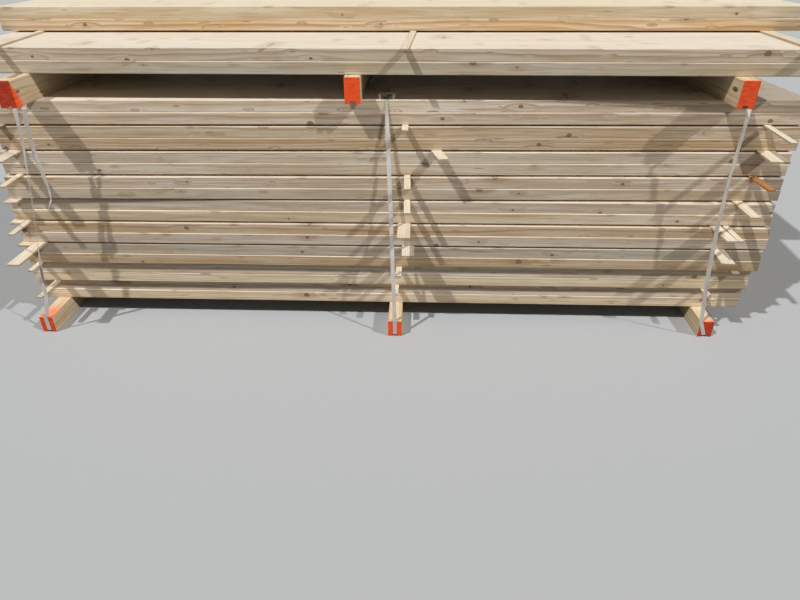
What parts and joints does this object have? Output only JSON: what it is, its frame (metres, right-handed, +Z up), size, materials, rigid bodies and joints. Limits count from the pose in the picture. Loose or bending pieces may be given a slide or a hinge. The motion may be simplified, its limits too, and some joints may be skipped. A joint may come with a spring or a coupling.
{
  "type": "stack of lumber",
  "caption": "Stack of planed softwood boards in layers on laths and grooved bearers, held by plastic straps, with more layers on bearers above.",
  "frame": {"origin": "on the floor, under the middle of the stack", "axes": "+X along the boards to the right, +Y from the front to the back, +Z up"},
  "size_m": [3.21, 1.591, 1.1979],
  "materials": {
    "planed_board": "planed spruce, pale, with small knots",
    "lath": "sawn softwood lath, pale",
    "bearer": "sawn softwood with orange painted ends",
    "strap": "woven polyester strap, greyish white",
    "buckle": "dull phosphated wire"
  },
  "bodies": {
    "root": {"buckle_middle": "buckle", "laths_on_layer_1": "lath", "laths_on_layer_2": "lath", "laths_on_layer_3": "lath", "laths_on_layer_4": "lath", "laths_on_layer_5": "lath", "laths_on_layer_6": "lath", "laths_on_layer_7": "lath", "laths_on_layer_8": "lath", "laths_on_upper_layer": "lath", "layer_1_boards": "planed_board", "layer_2_boards": "planed_board", "layer_3_boards": "planed_board", "layer_4_boards": "planed_board", "layer_5_boards": "planed_board", "layer_6_boards": "planed_board", "layer_7_boards": "planed_board", "layer_8_boards": "planed_board", "layer_9_boards": "planed_board", "lower_bearer_left": "bearer", "lower_bearer_middle": "bearer", "lower_bearer_right": "bearer", "strap_left": "strap", "strap_middle": "strap", "strap_right": "strap", "top_layer_boards": "planed_board", "upper_bearer_left": "bearer", "upper_bearer_middle": "bearer", "upper_bearer_right": "bearer", "upper_layer_boards": "planed_board"}
  },
  "joints": []
}
